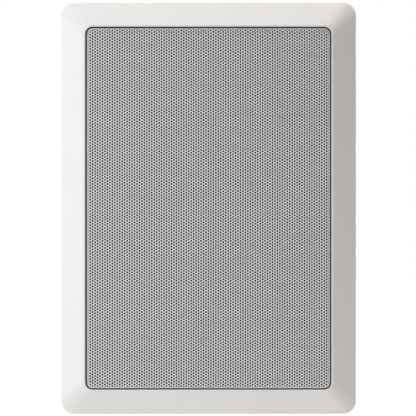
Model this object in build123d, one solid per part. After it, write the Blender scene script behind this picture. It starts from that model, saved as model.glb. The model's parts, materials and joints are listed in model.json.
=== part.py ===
from build123d import *

import os
from math import pi, sin, sqrt

# A rectangular two-way in-wall loudspeaker. The bezel hides the cut-out in the wall,
# and four clamps behind it grip the wall panel. X is to the right seen from the room,
# Y goes into the wall, Z is up. The origin is the centre of the bezel's back, on the wall.
# All sizes are in millimetres.

# Bezel, tub and baffle, one moulding
FRAME_W = 218.6
FRAME_H = 305.0
BEZEL_W = 18.2
BEZEL_RISE = 8.0
EDGE_T = 1.8
LIP_W = 1.2
OUTER_R = 9.6
OPENING_R = 5.5
SKIN_T = 2.4
CREST_FILLET = 0.7
EDGE_FILLET = 0.5
LIP_FILLET = 0.4
LEDGE_W = 3.5
UPSTAND_H = 2.4
WELL_DEPTH = 10.0
BAFFLE_T = 3.0
RIB_T = 1.6
RIB_SHY = 0.5
RIBS_ON_LONG_SIDE = 5
RIBS_ON_SHORT_SIDE = 3
BAFFLE_RIB_H = 4.0
CROSS_RIB_GAP = 4.0

# Grille: perforated steel sheet with a folded rim, and the cloth behind it
GRILLE_GAP = 0.9
GRILLE_RECESS = 0.5
GRILLE_RIM = 5.6
GRILLE_FIT = 0.1
SHEET_T = 0.8
FOLD_R = 1.4
HOLE_PITCH = 2.105
HOLE_D = 1.5
PLAIN_BORDER = 2.6
SCRIM_T = 0.4
SCRIM_INSET = 0.6

# Woofer chassis
WOOFER_R = 83.0
WOOFER_MARGIN = 3.5
BASKET_T = 1.2
BASKET_MOUTH_R = 69.4
BASKET_HOLE_GAP = 1.4
COLLAR_L = 7.0
SHELF_DEPTH = 36.1
SHELF_R = 46.6
SHELF_W = 7.4
SHELF_RIM = 4.0
SUMP_DEPTH = 10.0
SUMP_HOLE_R = 16.0
SPOKES = 6
SPOKE_W = 20.0

# Woofer suspension and moving parts
SURROUND_T = 1.0
SURROUND_FOOT_W = 5.4
SURROUND_OVERHANG = 0.8
ROLL_RISE = 5.0
CONE_EDGE_R = 57.5
CONE_EDGE_DEPTH = 7.1
CONE_DEPTH = 18.0
CONE_T = 0.9
CONE_FOOT_W = 4.0
DUST_CAP_R = 22.0
DUST_CAP_TOP_R = 12.0
DUST_CAP_RISE = 5.0
DUST_CAP_T = 0.6
GLUE_GAP = 0.3
FORMER_T = 0.3
FORMER_PAST_NECK = 2.0
FORMER_PAST_COIL = 1.0
COIL_T = 0.6
COIL_L = 11.0
COIL_CLEAR = 0.5
SPIDER_T = 0.6
SPIDER_CUP = 7.0
SPIDER_COLLAR_W = 3.0
SPIDER_RIM_GAP = 1.0

# Woofer motor
POLE_R = 12.5
TOP_PLATE_R = 40.0
TOP_PLATE_T = 5.0
MAGNET_R = 42.5
MAGNET_BORE_R = 22.0
MAGNET_T = 14.0
YOKE_T = 5.0

# Woofer terminals
STRIP_W = 20.0
STRIP_H = 6.4
STRIP_T = 1.6
TAG_W = 3.0
TAG_L = 10.0
TAG_T = 0.6
TAG_STEP = 10.0

# Tweeter
TWEETER_R = 30.0
FACEPLATE_T = 3.5
SPIGOT_R = 23.5
SPIGOT_GAP = 0.5
HORN_MOUTH_R = 23.0
HORN_THROAT_R = 16.5
HORN_LAND = 1.3
DOME_R = 13.0
DOME_TOP_R = 7.0
DOME_RISE = 5.6
DOME_T = 0.5
MOTOR_R = 21.5
MOTOR_L = 12.5

# Clamps: a long screw in a guide tower, and a paddle on the screw
CLAMP_SIDE_MARGIN = 9.6
CLAMP_END_MARGIN = 33.8
CLAMP_SCREW_R = 2.0
CLAMP_SCREW_PAST = 4.0
CLAMP_HEAD_R = 4.0
CLAMP_HEAD_H = 2.6
CLAMP_HOLE_GAP = 0.2
CROSS_W = 1.0
CROSS_L = 4.6
CROSS_D = 1.4
SCREW_FIT = 0.05
TOWER_L = 48.0
TOWER_T = 2.0
TOWER_CLEAR = 0.5
GUSSET_W = 10.0
GUSSET_L = 26.0
HUB_R = 6.6
HUB_L = 12.0
HUB_GAP = 0.4
ARM_L = 32.0
ARM_W = 10.0
ARM_T = 6.0
FOOT_L = 10.0
FOOT_T = 5.0

# Crossover board, and what stands on it as (right, up) from the board's centre
BOARD_W = 42.0
BOARD_H = 76.0
BOARD_T = 1.6
BOARD_GAP = 2.0
BOARD_DROP = 1.75
RAIL_H = 6.0
RAIL_W = 8.0
RAIL_INSET = 6.0
INDUCTOR_AT = (7.0, -1.0)
INDUCTOR_R = 12.0
INDUCTOR_BORE_R = 5.0
INDUCTOR_H = 13.0
CHOKE_AT = (-15.4, 16.0)
CHOKE_R = 5.5
CHOKE_H = 12.0
WOOFER_CAPACITOR_AT = (6.0, -21.0)
WOOFER_CAPACITOR_R = 6.0
WOOFER_CAPACITOR_L = 28.0
TWEETER_CAPACITOR_AT = (6.0, -32.5)
TWEETER_CAPACITOR_R = 4.5
TWEETER_CAPACITOR_L = 22.0
RESISTOR_AT = (-15.0, -16.0)
RESISTOR_L = 20.0
RESISTOR_W = 8.0
RESISTOR_H = 8.0

# Spring terminals on the board
BLOCK_AT = (5.5, 25.0)
BLOCK_W = 30.0
BLOCK_H = 25.0
BLOCK_D = 11.0
POCKET_W = 11.4
POCKET_H = 15.0
POCKET_D = 7.0
POCKET_TOP = 1.8
POCKET_STEP = 14.6
LEVER_GAP = 0.4
LEVER_FOOT_GAP = 1.0
LEVER_T = 4.0
LEVER_PROUD = 2.0
LEVER_PAD_L = 7.0
LEVER_PIN_R = 1.3
LEVER_PIN_L = 1.0
LEVER_PIN_FIT = 0.06
CLIP_T = 0.5
CLIP_W = 7.0
CLIP_FOOT_L = 4.0
CLIP_ARM_L = 6.0
WIRE_HOLE_R = 1.6
WIRE_HOLE_D = 8.0
WIRE_HOLE_UP = 4.0

# Leads
LEAD_R = 1.6
LEAD_SIDES = 6
LEAD_BEND = 9.0
LEAD_UNDER_BOARD = 13.0
LEAD_ON_BOARD = 4.0
TWEETER_LEAD_BEND = 4.0
TWEETER_LEAD_ON_MOTOR = 9.0
TWEETER_LEAD_ARCH = 10.0
TWEETER_LEAD_INSET = 2.0
TWEETER_LEAD_ON_BOARD = 7.0

# Corners of the clamps, as signs of X and Z
CORNERS = {
    "upper_right": (1, 1),
    "lower_right": (1, -1),
    "lower_left": (-1, -1),
    "upper_left": (-1, 1),
}

# Places worked out from the sizes above
lip_y = -BEZEL_RISE
opening_w = FRAME_W - 2 * BEZEL_W
opening_h = FRAME_H - 2 * BEZEL_W
well_w = opening_w - 2 * LEDGE_W
well_h = opening_h - 2 * LEDGE_W
grille_y = lip_y + GRILLE_RECESS
seat_y = grille_y + GRILLE_RIM
baffle_y = seat_y + WELL_DEPTH
baffle_back = baffle_y + BAFFLE_T
woofer_z = WOOFER_R + WOOFER_MARGIN - well_h / 2
tweeter_z = (woofer_z + WOOFER_R + well_h / 2) / 2
woofer_hole_r = BASKET_MOUTH_R + BASKET_T + BASKET_HOLE_GAP
tweeter_hole_r = SPIGOT_R + SPIGOT_GAP
flange_y = baffle_y - BASKET_T
shelf_y = flange_y + SHELF_DEPTH
sump_y = shelf_y + SUMP_DEPTH
top_plate_y = sump_y + BASKET_T
magnet_y = top_plate_y + TOP_PLATE_T
yoke_y = magnet_y + MAGNET_T
former_in_r = POLE_R + COIL_CLEAR
former_out_r = former_in_r + FORMER_T
coil_out_r = former_out_r + COIL_T
coil_mid_y = top_plate_y + TOP_PLATE_T / 2
cone_edge_y = flange_y + CONE_EDGE_DEPTH
cone_neck_y = cone_edge_y + CONE_DEPTH
cone_slope = CONE_DEPTH / (CONE_EDGE_R - former_out_r)
cone_slant = sqrt(1 + cone_slope**2)
cone_back = CONE_T * cone_slant
strip_z = woofer_z + SHELF_R + BASKET_T - STRIP_H / 2
strip_y = shelf_y + BASKET_T
tag_y = strip_y + STRIP_T
dome_y = baffle_y + BAFFLE_T
motor_y = dome_y + DOME_T
tower_r = HUB_R + HUB_GAP
tower_back = baffle_back + TOWER_L
screw_tip_y = tower_back + CLAMP_SCREW_PAST
clamp_x = well_w / 2 - CLAMP_SIDE_MARGIN
clamp_z = well_h / 2 - CLAMP_END_MARGIN
board_x = tweeter_hole_r + BOARD_GAP + BOARD_W / 2
board_z = tweeter_z - BOARD_DROP
board_y = baffle_back + RAIL_H
board_back = board_y + BOARD_T
block_x = board_x + BLOCK_AT[0]
block_z = board_z + BLOCK_AT[1]
block_back = board_back + BLOCK_D
pocket_top = block_z + BLOCK_H / 2 - POCKET_TOP
pin_y = block_back - LEVER_T / 2
pin_z = pocket_top - LEVER_GAP - LEVER_T / 2
lever_x = {"red": block_x - POCKET_STEP / 2, "black": block_x + POCKET_STEP / 2}


def rounded(width, height, radius):
    """A rounded rectangle, drawn in X and Z about the speaker's centre."""
    return RectangleRounded(width, height, radius)


def at_depth(sketch, y):
    """Puts a sketch drawn in X and Z at a depth, facing the room."""
    return Plane(origin=(0, y, 0), x_dir=(1, 0, 0), z_dir=(0, -1, 0)) * sketch


def slab(sketch, front, back):
    """A sketch drawn in X and Z, made solid between two depths."""
    return extrude(at_depth(sketch, back), amount=back - front)


def block(x, z, width, height, front, back):
    """A rectangular block centred on x and z, between two depths."""
    return slab(Pos(x, z) * Rectangle(width, height), front, back)


def rod(x, z, radius, front, back):
    """A round rod along Y."""
    return slab(Pos(x, z) * Circle(radius), front, back)


def rod_along_x(x, y, z, radius, length):
    """A round rod along X, centred on a point."""
    return Pos(x, y, z) * extrude(Plane.YZ * Circle(radius), amount=length / 2, both=True)


def turned(x, z, *points):
    """A closed outline of (radius, depth) points, turned about the Y axis through x and z."""
    face = Plane(origin=(x, 0, z)) * make_face(Polyline(*points, close=True))
    return revolve(face, Axis((x, 0, z), (0, 1, 0)))


def sleeve(x, z, inner, outer, front, back):
    """A plain ring along Y."""
    return turned(x, z, (inner, front), (outer, front), (outer, back), (inner, back))


def turned_sheet(x, z, thickness, *front):
    """A turned sheet with its front face through (radius, depth) points, as thick along Y everywhere."""
    back = [(radius, y + thickness) for radius, y in reversed(front)]
    return turned(x, z, *front, *back)


def lead(bend, *points):
    """A lead along straight runs joined by bends."""
    path = FilletPolyline(*points, radius=bend)
    section = Plane(origin=path @ 0, z_dir=path % 0) * RegularPolygon(LEAD_R, LEAD_SIDES)
    return sweep(section, path=path)


def rail_places():
    reach = BOARD_H / 2 - RAIL_INSET
    return [board_z + reach, board_z - reach]


def clamp_places():
    return [(side * clamp_x, end * clamp_z, side) for side, end in CORNERS.values()]


# Frame

def bezel():
    """The sloping bezel, solid, with its rounded crest and edge."""
    outer = rounded(FRAME_W, FRAME_H, OUTER_R)
    lip = rounded(opening_w + 2 * LIP_W, opening_h + 2 * LIP_W, OPENING_R + LIP_W)
    slope = loft([at_depth(outer, -EDGE_T), at_depth(lip, lip_y)], ruled=True)
    body = slab(outer, -EDGE_T, 0) + slope
    body = fillet(body.edges().group_by(Axis.Y)[0], CREST_FILLET)
    edge = body.edges().filter_by_position(Axis.Y, -EDGE_T, -EDGE_T)
    return fillet(edge, EDGE_FILLET)


def under_bezel():
    """The hollow behind the slope, a ring of wedge section round the tub."""
    fall = (BEZEL_RISE - EDGE_T) / (BEZEL_W - LIP_W)
    skin = SKIN_T * sqrt(1 + fall**2)
    rim = (skin - EDGE_T) / fall
    roof = skin - EDGE_T - fall * (BEZEL_W - SKIN_T)
    mouth = rounded(FRAME_W - 2 * rim, FRAME_H - 2 * rim, OUTER_R - rim)
    tub = rounded(opening_w + 2 * SKIN_T, opening_h + 2 * SKIN_T, OPENING_R + SKIN_T)
    wedge = loft([at_depth(mouth, 0), at_depth(tub, roof)], ruled=True)
    return wedge - slab(tub, lip_y, SKIN_T)


def bezel_ribs(hollow):
    """Thin ribs that tie the slope to the tub, a little short of the wall."""
    columns = GridLocations(opening_w / (RIBS_ON_SHORT_SIDE + 1), 0, RIBS_ON_SHORT_SIDE, 1)
    rows = GridLocations(0, opening_h / (RIBS_ON_LONG_SIDE + 1), 1, RIBS_ON_LONG_SIDE)
    webs = Sketch() + columns * Rectangle(RIB_T, FRAME_H) + rows * Rectangle(FRAME_W, RIB_T)
    return slab(webs, lip_y, -RIB_SHY) & hollow


def tub():
    """The grille's recess, its ledge and upstand, and the well with the baffle across its back."""
    upper = rounded(opening_w + 2 * SKIN_T, opening_h + 2 * SKIN_T, OPENING_R + SKIN_T)
    lower = rounded(well_w + 2 * SKIN_T, well_h + 2 * SKIN_T, OPENING_R + SKIN_T)
    body = slab(upper, lip_y / 2, seat_y + SKIN_T) + slab(lower, seat_y, baffle_back)
    body -= slab(rounded(opening_w, opening_h, OPENING_R), lip_y, seat_y)
    body += slab(rounded(*grille_size(SHEET_T + GRILLE_FIT)), seat_y - UPSTAND_H, seat_y)
    return body - slab(rounded(well_w, well_h, OPENING_R), lip_y, baffle_y)


def baffle_ribs():
    """Straight ribs on the back of the baffle, beside and between the driver holes."""
    cross_z = woofer_z + woofer_hole_r + CROSS_RIB_GAP
    spine_foot = woofer_z + woofer_hole_r / 2
    spine_top = tweeter_z
    web = Pos(0, woofer_z) * Rectangle(well_w, RIB_T)
    web += Pos(0, cross_z) * Rectangle(well_w, RIB_T)
    web += Pos(0, (spine_foot + spine_top) / 2) * Rectangle(RIB_T, spine_top - spine_foot)
    return slab(web, baffle_back, baffle_back + BAFFLE_RIB_H)


def tower(x, z, side):
    """Half a tube beside a clamp screw, open to both places of the paddle's arm, with a gusset."""
    half_arm = ARM_W / 2
    reach = (half_arm - sqrt(tower_r**2 - half_arm**2)) / sqrt(2) + TOWER_CLEAR
    outside = tower_r + TOWER_T
    tube = Circle(outside) - Circle(tower_r)
    keep = Rot(0, 0, 45) * Pos(-outside - reach, 0) * Rectangle(2 * outside, 2 * outside)
    turn = Rot(0, 0, 0 if side > 0 else 180)
    wall = slab(Pos(x, z) * turn * (tube & keep), baffle_back, tower_back)
    root = z - side * (outside - TOWER_T / 2)
    toe = root - side * GUSSET_W
    corner = (baffle_back, root)
    web = make_face(Polyline(corner, (baffle_back, toe), (baffle_back + GUSSET_L, root), close=True))
    return wall + Pos(x, 0, 0) * extrude(Plane.YZ * web, amount=RIB_T / 2, both=True)


def frame():
    hollow = under_bezel()
    shell = bezel() - hollow + bezel_ribs(hollow)
    shell -= slab(rounded(opening_w, opening_h, OPENING_R), lip_y, SKIN_T)
    lip_edge = shell.faces().sort_by(Axis.Y)[0].inner_wires()[0].edges()
    body = fillet(lip_edge, LIP_FILLET) + tub() + baffle_ribs()
    for x, z, side in clamp_places():
        body += tower(x, z, side)
    for z in rail_places():
        body += block(board_x, z, BOARD_W, RAIL_W, baffle_back, board_y)
    drivers = Pos(0, woofer_z) * Circle(woofer_hole_r) + Pos(0, tweeter_z) * Circle(tweeter_hole_r)
    body -= slab(drivers, baffle_y, baffle_back + BAFFLE_RIB_H)
    for x, z, side in clamp_places():
        body -= rod(x, z, CLAMP_SCREW_R + CLAMP_HOLE_GAP, baffle_y, baffle_back)
    return body


# Grille

def grille_size(inset):
    """Width, height and corner radius of the grille, or of what lies inside it."""
    edge = GRILLE_GAP + inset
    return opening_w - 2 * edge, opening_h - 2 * edge, OPENING_R - edge


def grille():
    """A shallow folded tray. Each slot stands for one column of the punched holes, and is as
    wide as gives the sheet the same open area."""
    tray = slab(rounded(*grille_size(0)), grille_y, seat_y)
    tray = fillet(tray.edges().group_by(Axis.Y)[0], FOLD_R)
    tray -= slab(rounded(*grille_size(SHEET_T)), grille_y + SHEET_T, seat_y)
    width, height, _ = grille_size(PLAIN_BORDER)
    column_step = HOLE_PITCH * sin(pi / 3)
    slot_w = pi * HOLE_D**2 / 4 / HOLE_PITCH
    columns = int((width - slot_w) / column_step) + 1
    slots = GridLocations(column_step, 0, columns, 1) * Rectangle(slot_w, height)
    return tray - slab(Sketch() + slots, grille_y, grille_y + SHEET_T)


def grille_scrim():
    cloth = rounded(*grille_size(SHEET_T + SCRIM_INSET))
    return slab(cloth, grille_y + SHEET_T, grille_y + SHEET_T + SCRIM_T)


# Woofer

def woofer_basket():
    """A pressed steel chassis: flange and collar, spokes, and a bowl with a shelf for the spider."""
    t = BASKET_T
    mouth = BASKET_MOUTH_R
    shelf_in = SHELF_R - SHELF_W
    collar_back = baffle_y + COLLAR_L
    rim_front = shelf_y - SHELF_RIM
    body = turned(
        0, woofer_z,
        (mouth, flange_y), (WOOFER_R, flange_y), (WOOFER_R, baffle_y),
        (mouth + t, baffle_y), (mouth + t, collar_back), (mouth, collar_back),
    )
    body += turned(
        0, woofer_z,
        (SHELF_R, rim_front), (SHELF_R + t, rim_front), (SHELF_R + t, shelf_y + t),
        (shelf_in + t, shelf_y + t), (shelf_in + t, top_plate_y), (SUMP_HOLE_R, top_plate_y),
        (SUMP_HOLE_R, sump_y), (shelf_in, sump_y), (shelf_in, shelf_y), (SHELF_R, shelf_y),
    )
    side = Polyline(
        (mouth, baffle_y), (mouth + t, baffle_y), (mouth + t, collar_back), (SHELF_R + t, shelf_y),
        (SHELF_R, shelf_y), (SHELF_R, rim_front), (mouth, collar_back - t), close=True,
    )
    spoke = extrude(make_face(side), amount=SPOKE_W / 2, both=True)
    for i in range(SPOKES):
        body += Pos(0, 0, woofer_z) * Rot(0, 360 / SPOKES * i, 0) * spoke
    return body


def cone_front(radius):
    """Depth of the cone's front face at a radius."""
    return cone_edge_y + (CONE_EDGE_R - radius) * cone_slope


def woofer_cone():
    return turned(
        0, woofer_z,
        (former_out_r, cone_neck_y), (CONE_EDGE_R, cone_edge_y),
        (CONE_EDGE_R, cone_edge_y + cone_back), (former_out_r, cone_neck_y + cone_back),
    )


def woofer_surround():
    """A rubber roll. Its outer foot lies on the chassis, its inner edge on the cone."""
    foot_in = BASKET_MOUTH_R - SURROUND_OVERHANG
    foot_y = flange_y - SURROUND_T
    crest_r = (foot_in + CONE_EDGE_R) / 2
    toe_r = CONE_EDGE_R - CONE_FOOT_W
    toe_y = cone_front(toe_r) - SURROUND_T - GLUE_GAP
    return turned_sheet(
        0, woofer_z, SURROUND_T,
        (foot_in + SURROUND_FOOT_W, foot_y), (foot_in, foot_y),
        (crest_r, foot_y - ROLL_RISE), (toe_r, toe_y),
    )


def dust_cap():
    """A low cap with a flat top, glued to the cone by its rim."""
    rim_y = cone_front(DUST_CAP_R) - DUST_CAP_T
    top_y = rim_y - DUST_CAP_RISE
    return turned_sheet(0, woofer_z, DUST_CAP_T, (0, top_y), (DUST_CAP_TOP_R, top_y), (DUST_CAP_R, rim_y))


def voice_coil():
    """The coil's former with its winding, bonded into one piece."""
    front = cone_neck_y - FORMER_PAST_NECK
    coil_front = coil_mid_y - COIL_L / 2
    coil_back = coil_mid_y + COIL_L / 2
    back = coil_back + FORMER_PAST_COIL
    return turned(
        0, woofer_z,
        (former_in_r, front), (former_out_r, front), (former_out_r, coil_front), (coil_out_r, coil_front),
        (coil_out_r, coil_back), (former_out_r, coil_back), (former_out_r, back), (former_in_r, back),
    )


def spider():
    """A cupped cloth disc between the voice coil and the chassis shelf."""
    collar = former_out_r + GLUE_GAP
    rim_in = SHELF_R - SHELF_W + SPIDER_RIM_GAP
    rim_out = SHELF_R - SPIDER_RIM_GAP
    low = shelf_y - SPIDER_T
    high = low - SPIDER_CUP
    return turned_sheet(
        0, woofer_z, SPIDER_T,
        (collar, high), (collar + SPIDER_COLLAR_W, high), (rim_in, low), (rim_out, low),
    )


def top_plate():
    return sleeve(0, woofer_z, coil_out_r + COIL_CLEAR, TOP_PLATE_R, top_plate_y, magnet_y)


def woofer_magnet():
    return sleeve(0, woofer_z, MAGNET_BORE_R, MAGNET_R, magnet_y, yoke_y)


def yoke():
    """The back plate and the pole, one steel piece."""
    back = yoke_y + YOKE_T
    return turned(
        0, woofer_z,
        (0, top_plate_y), (POLE_R, top_plate_y), (POLE_R, yoke_y),
        (TOP_PLATE_R, yoke_y), (TOP_PLATE_R, back), (0, back),
    )


def tag_strip():
    return block(0, strip_z, STRIP_W, STRIP_H, strip_y, tag_y)


def tag_places():
    return [-TAG_STEP / 2, TAG_STEP / 2]


def solder_tags():
    """Two flat tags on the strip, each past its outer edge."""
    z = strip_z - STRIP_H / 2 + TAG_L / 2
    return [block(x, z, TAG_W, TAG_L, tag_y, tag_y + TAG_T) for x in tag_places()]


# Tweeter

def tweeter_faceplate():
    """A round plate with a short horn and a spigot in the baffle's hole."""
    front = baffle_y - FACEPLATE_T
    return turned(
        0, tweeter_z,
        (TWEETER_R, front), (TWEETER_R, baffle_y), (SPIGOT_R, baffle_y), (SPIGOT_R, dome_y),
        (HORN_THROAT_R, dome_y), (HORN_THROAT_R, dome_y - HORN_LAND), (HORN_MOUTH_R, front),
    )


def tweeter_dome():
    """A pressed silk dome with the flat rim that is clamped under the faceplate."""
    top_y = dome_y - DOME_RISE
    return turned_sheet(
        0, tweeter_z, DOME_T, (0, top_y), (DOME_TOP_R, top_y), (DOME_R, dome_y), (MOTOR_R, dome_y),
    )


def tweeter_motor():
    """The closed steel can with the magnet, the pole and the coil."""
    return rod(0, tweeter_z, MOTOR_R, motor_y, motor_y + MOTOR_L)


# Clamps

def clamp_screw(x, z):
    """A long cross-head screw."""
    head = baffle_y - CLAMP_HEAD_H
    body = rod(x, z, CLAMP_HEAD_R, head, baffle_y) + rod(x, z, CLAMP_SCREW_R, baffle_y, screw_tip_y)
    cross = Rectangle(CROSS_W, CROSS_L) + Rectangle(CROSS_L, CROSS_W)
    return body - slab(Pos(x, z) * cross, head, head + CROSS_D)


def clamp_paddle(x, z, side):
    """A hub on the screw with an arm, parked up or down, and a foot that meets the panel's back."""
    arm_front = tower_back - ARM_T
    arm = Pos(0, ARM_L / 2) * Rectangle(ARM_W, ARM_L)
    foot = Pos(0, ARM_L - FOOT_T / 2) * Rectangle(ARM_W, FOOT_T)
    turn = Pos(x, z) * Rot(0, 0, 0 if side > 0 else 180)
    body = rod(x, z, HUB_R, tower_back - HUB_L, tower_back)
    body += slab(turn * arm, arm_front, tower_back)
    body += slab(turn * foot, arm_front - FOOT_L, arm_front)
    return body - rod(x, z, CLAMP_SCREW_R + SCREW_FIT, tower_back - HUB_L, tower_back)


# Crossover

def crossover_board():
    return block(board_x, board_z, BOARD_W, BOARD_H, board_y, board_back)


def woofer_inductor():
    """An air-cored coil that stands on the board."""
    x, z = board_x + INDUCTOR_AT[0], board_z + INDUCTOR_AT[1]
    return sleeve(x, z, INDUCTOR_BORE_R, INDUCTOR_R, board_back, board_back + INDUCTOR_H)


def tweeter_choke():
    return rod(board_x + CHOKE_AT[0], board_z + CHOKE_AT[1], CHOKE_R, board_back, board_back + CHOKE_H)


def capacitor(place, radius, length):
    """A round capacitor lying along X on the board."""
    return rod_along_x(board_x + place[0], board_back + radius, board_z + place[1], radius, length)


def attenuator_resistor():
    x, z = board_x + RESISTOR_AT[0], board_z + RESISTOR_AT[1]
    return block(x, z, RESISTOR_W, RESISTOR_L, board_back, board_back + RESISTOR_H)


# Terminals

def terminal_block():
    """A block with two lever pockets, the levers' pin holes and two wire holes."""
    body = block(block_x, block_z, BLOCK_W, BLOCK_H, board_back, block_back)
    pin_hole_l = POCKET_W + 2 * (LEVER_PIN_L + LEVER_GAP)
    wire_z = block_z - BLOCK_H / 2 + WIRE_HOLE_UP
    for x in lever_x.values():
        body -= block(x, pocket_top - POCKET_H / 2, POCKET_W, POCKET_H, block_back - POCKET_D, block_back)
        body -= rod_along_x(x, pin_y, pin_z, LEVER_PIN_R + LEVER_PIN_FIT, pin_hole_l)
        body -= rod(x, wire_z, WIRE_HOLE_R, block_back - WIRE_HOLE_D, block_back)
    return body


def terminal_lever(x):
    """A push lever that hinges on its own moulded pins at the top, with a raised pad at its foot."""
    top = pin_z + LEVER_T / 2
    length = POCKET_H - LEVER_GAP - LEVER_FOOT_GAP
    foot = top - length
    nose = Pos(pin_y, pin_z) * Circle(LEVER_T / 2)
    blade = Pos(pin_y, (pin_z + foot) / 2) * Rectangle(LEVER_T, pin_z - foot)
    pad = Rectangle(LEVER_T + LEVER_PROUD, LEVER_PAD_L)
    pad = Pos(pin_y + LEVER_PROUD / 2, foot + LEVER_PAD_L / 2) * pad
    side_view = Plane.YZ * (nose + blade + pad)
    body = extrude(side_view, amount=POCKET_W / 2 - LEVER_GAP, both=True)
    return Pos(x, 0, 0) * body + rod_along_x(x, pin_y, pin_z, LEVER_PIN_R, POCKET_W + 2 * LEVER_PIN_L)


def terminal_clip(x):
    """A bent leaf spring on the pocket's floor that holds the lever out."""
    floor = block_back - POCKET_D
    under = block_back - LEVER_T - LEVER_GAP
    start = pocket_top - LEVER_GAP
    bend = start - CLIP_FOOT_L
    end = bend - CLIP_ARM_L
    strip = Polyline(
        (floor, start), (floor, bend), (under - CLIP_T, end), (under, end),
        (floor + CLIP_T, bend), (floor + CLIP_T, start), close=True,
    )
    return Pos(x, 0, 0) * extrude(Plane.YZ * make_face(strip), amount=CLIP_W / 2, both=True)


# Leads

def woofer_lead():
    """From the woofer's tags up over the chassis and onto the foot of the board."""
    x = board_x - BOARD_W / 2 + LEAD_ON_BOARD
    start_y = tag_y + LEAD_R
    end_y = board_back + LEAD_R
    board_foot = board_z - BOARD_H / 2
    rise_z = board_foot - LEAD_UNDER_BOARD
    return lead(
        LEAD_BEND,
        (0, start_y, strip_z), (0, start_y, rise_z),
        (x, end_y, rise_z), (x, end_y, board_foot + LEAD_ON_BOARD),
    )


def tweeter_lead():
    """From the back of the tweeter's motor, in an arch, onto the inner edge of the board."""
    x = MOTOR_R - TWEETER_LEAD_ON_MOTOR
    start_y = motor_y + MOTOR_L
    arch_y = start_y + TWEETER_LEAD_ARCH
    end_y = board_back + LEAD_R
    landing = board_x - BOARD_W / 2 + TWEETER_LEAD_INSET
    return lead(
        TWEETER_LEAD_BEND,
        (x, start_y, tweeter_z), (x, arch_y, tweeter_z), (landing, arch_y, tweeter_z),
        (landing, end_y, tweeter_z), (landing + TWEETER_LEAD_ON_BOARD, end_y, tweeter_z),
    )


# Nodes

def nodes():
    """Every piece by name. A list is a group of separate solids."""
    made = {
        "frame": frame(),
        "grille": grille(),
        "grille_scrim": grille_scrim(),
        "woofer_basket": woofer_basket(),
        "woofer_surround": woofer_surround(),
        "woofer_cone": woofer_cone(),
        "dust_cap": dust_cap(),
        "voice_coil": voice_coil(),
        "spider": spider(),
        "tag_strip": tag_strip(),
        "solder_tags": solder_tags(),
        "top_plate": top_plate(),
        "woofer_magnet": woofer_magnet(),
        "yoke": yoke(),
        "tweeter_faceplate": tweeter_faceplate(),
        "tweeter_dome": tweeter_dome(),
        "tweeter_motor": tweeter_motor(),
        "crossover_board": crossover_board(),
        "woofer_inductor": woofer_inductor(),
        "tweeter_choke": tweeter_choke(),
        "woofer_capacitor": capacitor(WOOFER_CAPACITOR_AT, WOOFER_CAPACITOR_R, WOOFER_CAPACITOR_L),
        "tweeter_capacitor": capacitor(TWEETER_CAPACITOR_AT, TWEETER_CAPACITOR_R, TWEETER_CAPACITOR_L),
        "attenuator_resistor": attenuator_resistor(),
        "terminal_block": terminal_block(),
        "woofer_lead": woofer_lead(),
        "tweeter_lead": tweeter_lead(),
    }
    for colour, x in lever_x.items():
        made["terminal_lever_" + colour] = terminal_lever(x)
        made["terminal_clip_" + colour] = terminal_clip(x)
    for corner, (x, z, side) in zip(CORNERS, clamp_places()):
        made["clamp_screw_" + corner] = clamp_screw(x, z)
        made["clamp_paddle_" + corner] = clamp_paddle(x, z, side)
    return made


os.makedirs("parts", exist_ok=True)
for name, shape in nodes().items():
    whole = Compound(children=shape) if isinstance(shape, list) else shape
    export_step(whole, "parts/" + name + ".step")
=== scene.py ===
import json
from math import cos, hypot, pi, radians, sin

import bmesh
import bpy
from mathutils import Matrix, Vector

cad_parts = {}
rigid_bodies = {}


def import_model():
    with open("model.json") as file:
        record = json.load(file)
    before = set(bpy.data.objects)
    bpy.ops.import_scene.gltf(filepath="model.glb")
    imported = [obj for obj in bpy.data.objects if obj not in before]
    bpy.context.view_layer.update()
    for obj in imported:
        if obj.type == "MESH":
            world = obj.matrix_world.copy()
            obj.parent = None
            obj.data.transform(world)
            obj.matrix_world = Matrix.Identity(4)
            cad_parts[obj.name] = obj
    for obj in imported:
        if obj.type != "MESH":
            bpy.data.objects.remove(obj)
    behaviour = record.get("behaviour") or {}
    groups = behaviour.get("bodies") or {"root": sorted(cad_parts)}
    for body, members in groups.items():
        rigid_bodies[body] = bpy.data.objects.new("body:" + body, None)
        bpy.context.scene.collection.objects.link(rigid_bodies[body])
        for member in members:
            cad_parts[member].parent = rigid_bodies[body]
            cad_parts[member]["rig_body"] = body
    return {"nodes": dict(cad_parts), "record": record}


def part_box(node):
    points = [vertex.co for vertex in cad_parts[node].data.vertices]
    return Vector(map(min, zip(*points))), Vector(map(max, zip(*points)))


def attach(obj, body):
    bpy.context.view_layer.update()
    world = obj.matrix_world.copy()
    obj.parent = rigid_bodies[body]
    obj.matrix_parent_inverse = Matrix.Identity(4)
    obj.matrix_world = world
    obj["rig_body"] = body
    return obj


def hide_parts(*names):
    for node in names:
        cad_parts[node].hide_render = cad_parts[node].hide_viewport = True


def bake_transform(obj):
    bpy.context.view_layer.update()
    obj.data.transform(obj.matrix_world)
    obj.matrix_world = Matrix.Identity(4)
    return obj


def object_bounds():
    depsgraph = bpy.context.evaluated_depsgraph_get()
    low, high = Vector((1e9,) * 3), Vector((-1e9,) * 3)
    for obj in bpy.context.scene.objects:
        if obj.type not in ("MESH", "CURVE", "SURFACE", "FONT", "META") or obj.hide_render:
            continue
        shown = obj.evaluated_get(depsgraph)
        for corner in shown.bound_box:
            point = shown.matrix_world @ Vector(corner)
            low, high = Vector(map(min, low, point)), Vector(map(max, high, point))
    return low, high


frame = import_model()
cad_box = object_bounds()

# The speaker stands upright with its front to -Y. Sizes are in metres.
MM = 0.001
nodes = frame["nodes"]

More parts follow.
